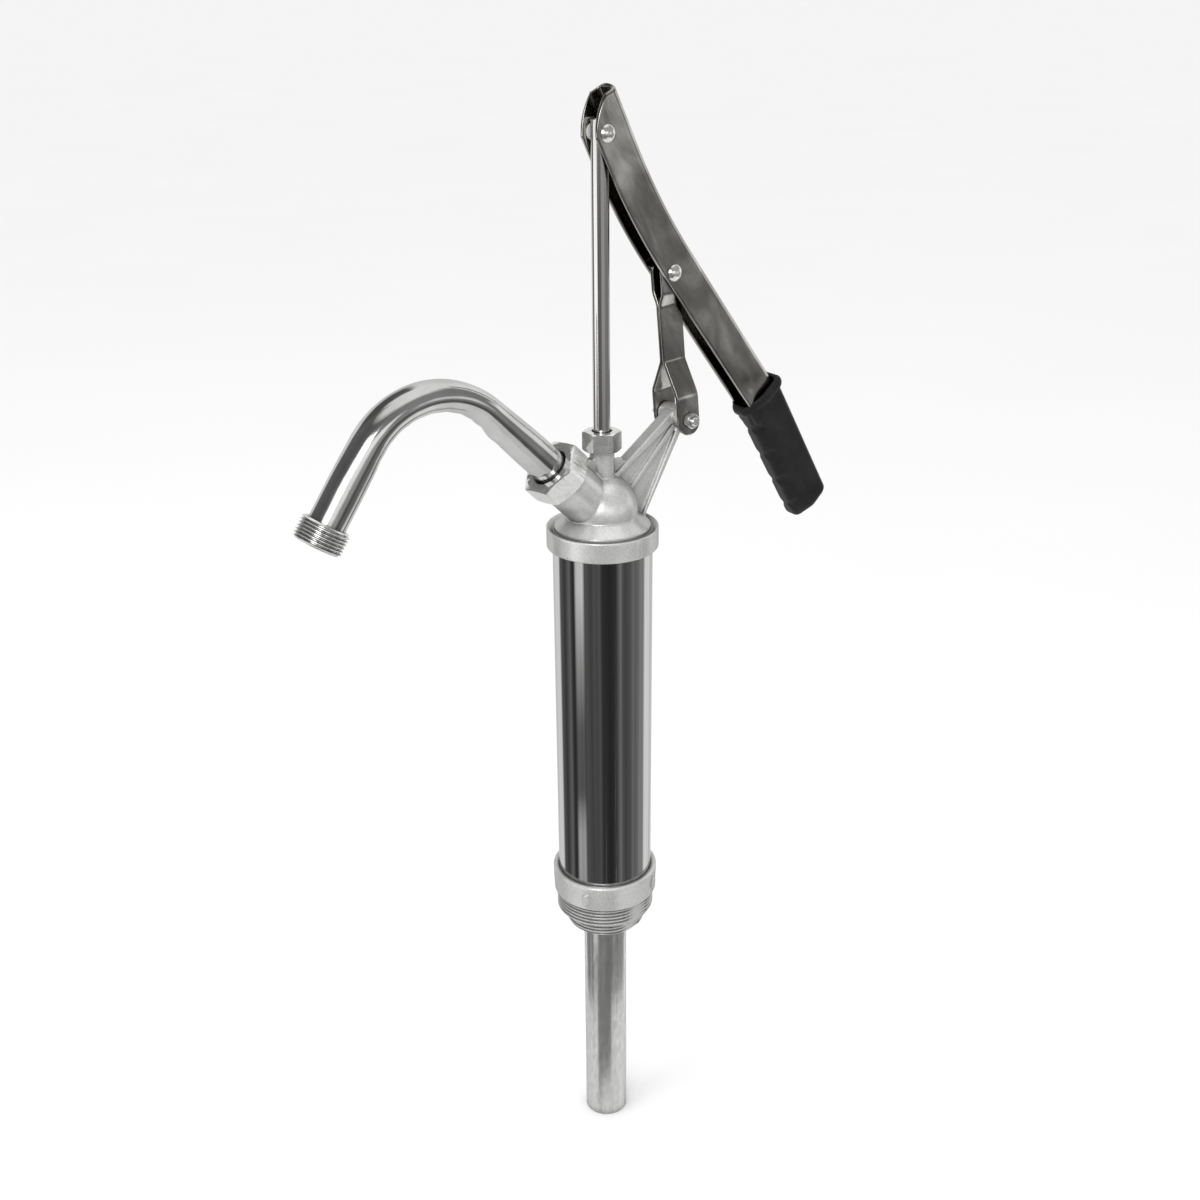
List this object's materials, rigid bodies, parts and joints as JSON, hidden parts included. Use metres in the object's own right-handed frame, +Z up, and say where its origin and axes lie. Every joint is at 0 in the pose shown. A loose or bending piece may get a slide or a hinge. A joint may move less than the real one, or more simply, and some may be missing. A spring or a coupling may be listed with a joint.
{
  "type": "lever-action drum pump",
  "caption": "Hand pump for drums: a chromed barrel on a stepped bung adapter, with a bent spout, a suction pipe and a channel-section handle hung on a rocking link.",
  "frame": {"origin": "on the barrel's axis, at the adapter's shoulder that seats on the drum's bung", "axes": "+Z up along the barrel towards the head; +X from the barrel towards the link's fulcrum and the handle, so the spout leans to -X; the mechanism lies in the XZ plane"},
  "size_m": [0.3409, 0.064, 0.6483],
  "materials": {
    "chromed_steel": "polished",
    "die_cast_alloy": "as die-cast",
    "plated_steel": "zinc plated",
    "rod_steel": "polished",
    "brass": "machined",
    "nitrile_rubber": "smooth",
    "valve_plastic": "moulded",
    "grip_plastic": "satin"
  },
  "bodies": {
    "pump": {"barrel_tube": "chromed_steel", "barrel_foot_gasket": "nitrile_rubber", "barrel_top_gasket": "nitrile_rubber", "bung_adapter": "die_cast_alloy", "suction_pipe": "plated_steel", "foot_valve_seat": "brass", "foot_valve_cage": "brass", "head_casting": "die_cast_alloy", "gland_nut": "plated_steel", "gland_washer": "brass", "gland_packing": "nitrile_rubber", "spout_tube": "chromed_steel", "spout_union_nut": "plated_steel", "spout_collar": "chromed_steel", "spout_seal": "nitrile_rubber", "spout_outlet_ferrule": "plated_steel"},
    "foot_valve": {"foot_valve_disc": "valve_plastic"},
    "rod": {"piston_rod": "rod_steel", "piston_body": "brass", "piston_seal_ring": "nitrile_rubber", "piston_washer": "plated_steel", "piston_nut": "plated_steel", "piston_valve_stop": "brass"},
    "piston_valve": {"piston_valve_disc": "valve_plastic"},
    "lever": {"lever_channel": "chromed_steel", "lever_grip": "grip_plastic", "rod_pin": "plated_steel", "rod_pin_spacers": "valve_plastic", "link_pin_ends": "plated_steel"},
    "link": {"link_plate_near": "chromed_steel", "link_plate_far": "chromed_steel", "fulcrum_bolt": "plated_steel", "fulcrum_nut": "plated_steel"}
  },
  "joints": [
    {"name": "lever_swing", "type": "hinge", "parent": "rod", "child": "lever", "pos_m": [0, 0, 0.451], "axis": [0, -1, 0], "range_deg": [0, 95]},
    {"name": "rod_slide", "type": "slide", "parent": "pump", "child": "rod", "axis": [0, 0, -1], "range_m": [0, 0.1205]},
    {"name": "link_swing", "type": "hinge", "parent": "pump", "child": "link", "pos_m": [0.0508, 0, 0.2946], "axis": [0, 1, 0], "range_deg": [0, 20]},
    {"name": "foot_valve_lift", "type": "slide", "parent": "pump", "child": "foot_valve", "axis": [0, 0, 1], "range_m": [0, 0.003]},
    {"name": "piston_valve_lift", "type": "slide", "parent": "rod", "child": "piston_valve", "axis": [0, 0, 1], "range_m": [0, 0.003]}
  ],
  "couplings": [
    {"joint": "rod_slide", "follows": "lever_swing", "m_per_rad": 0.07237},
    {"joint": "link_swing", "follows": "lever_swing", "ratio": 0.205}
  ]
}
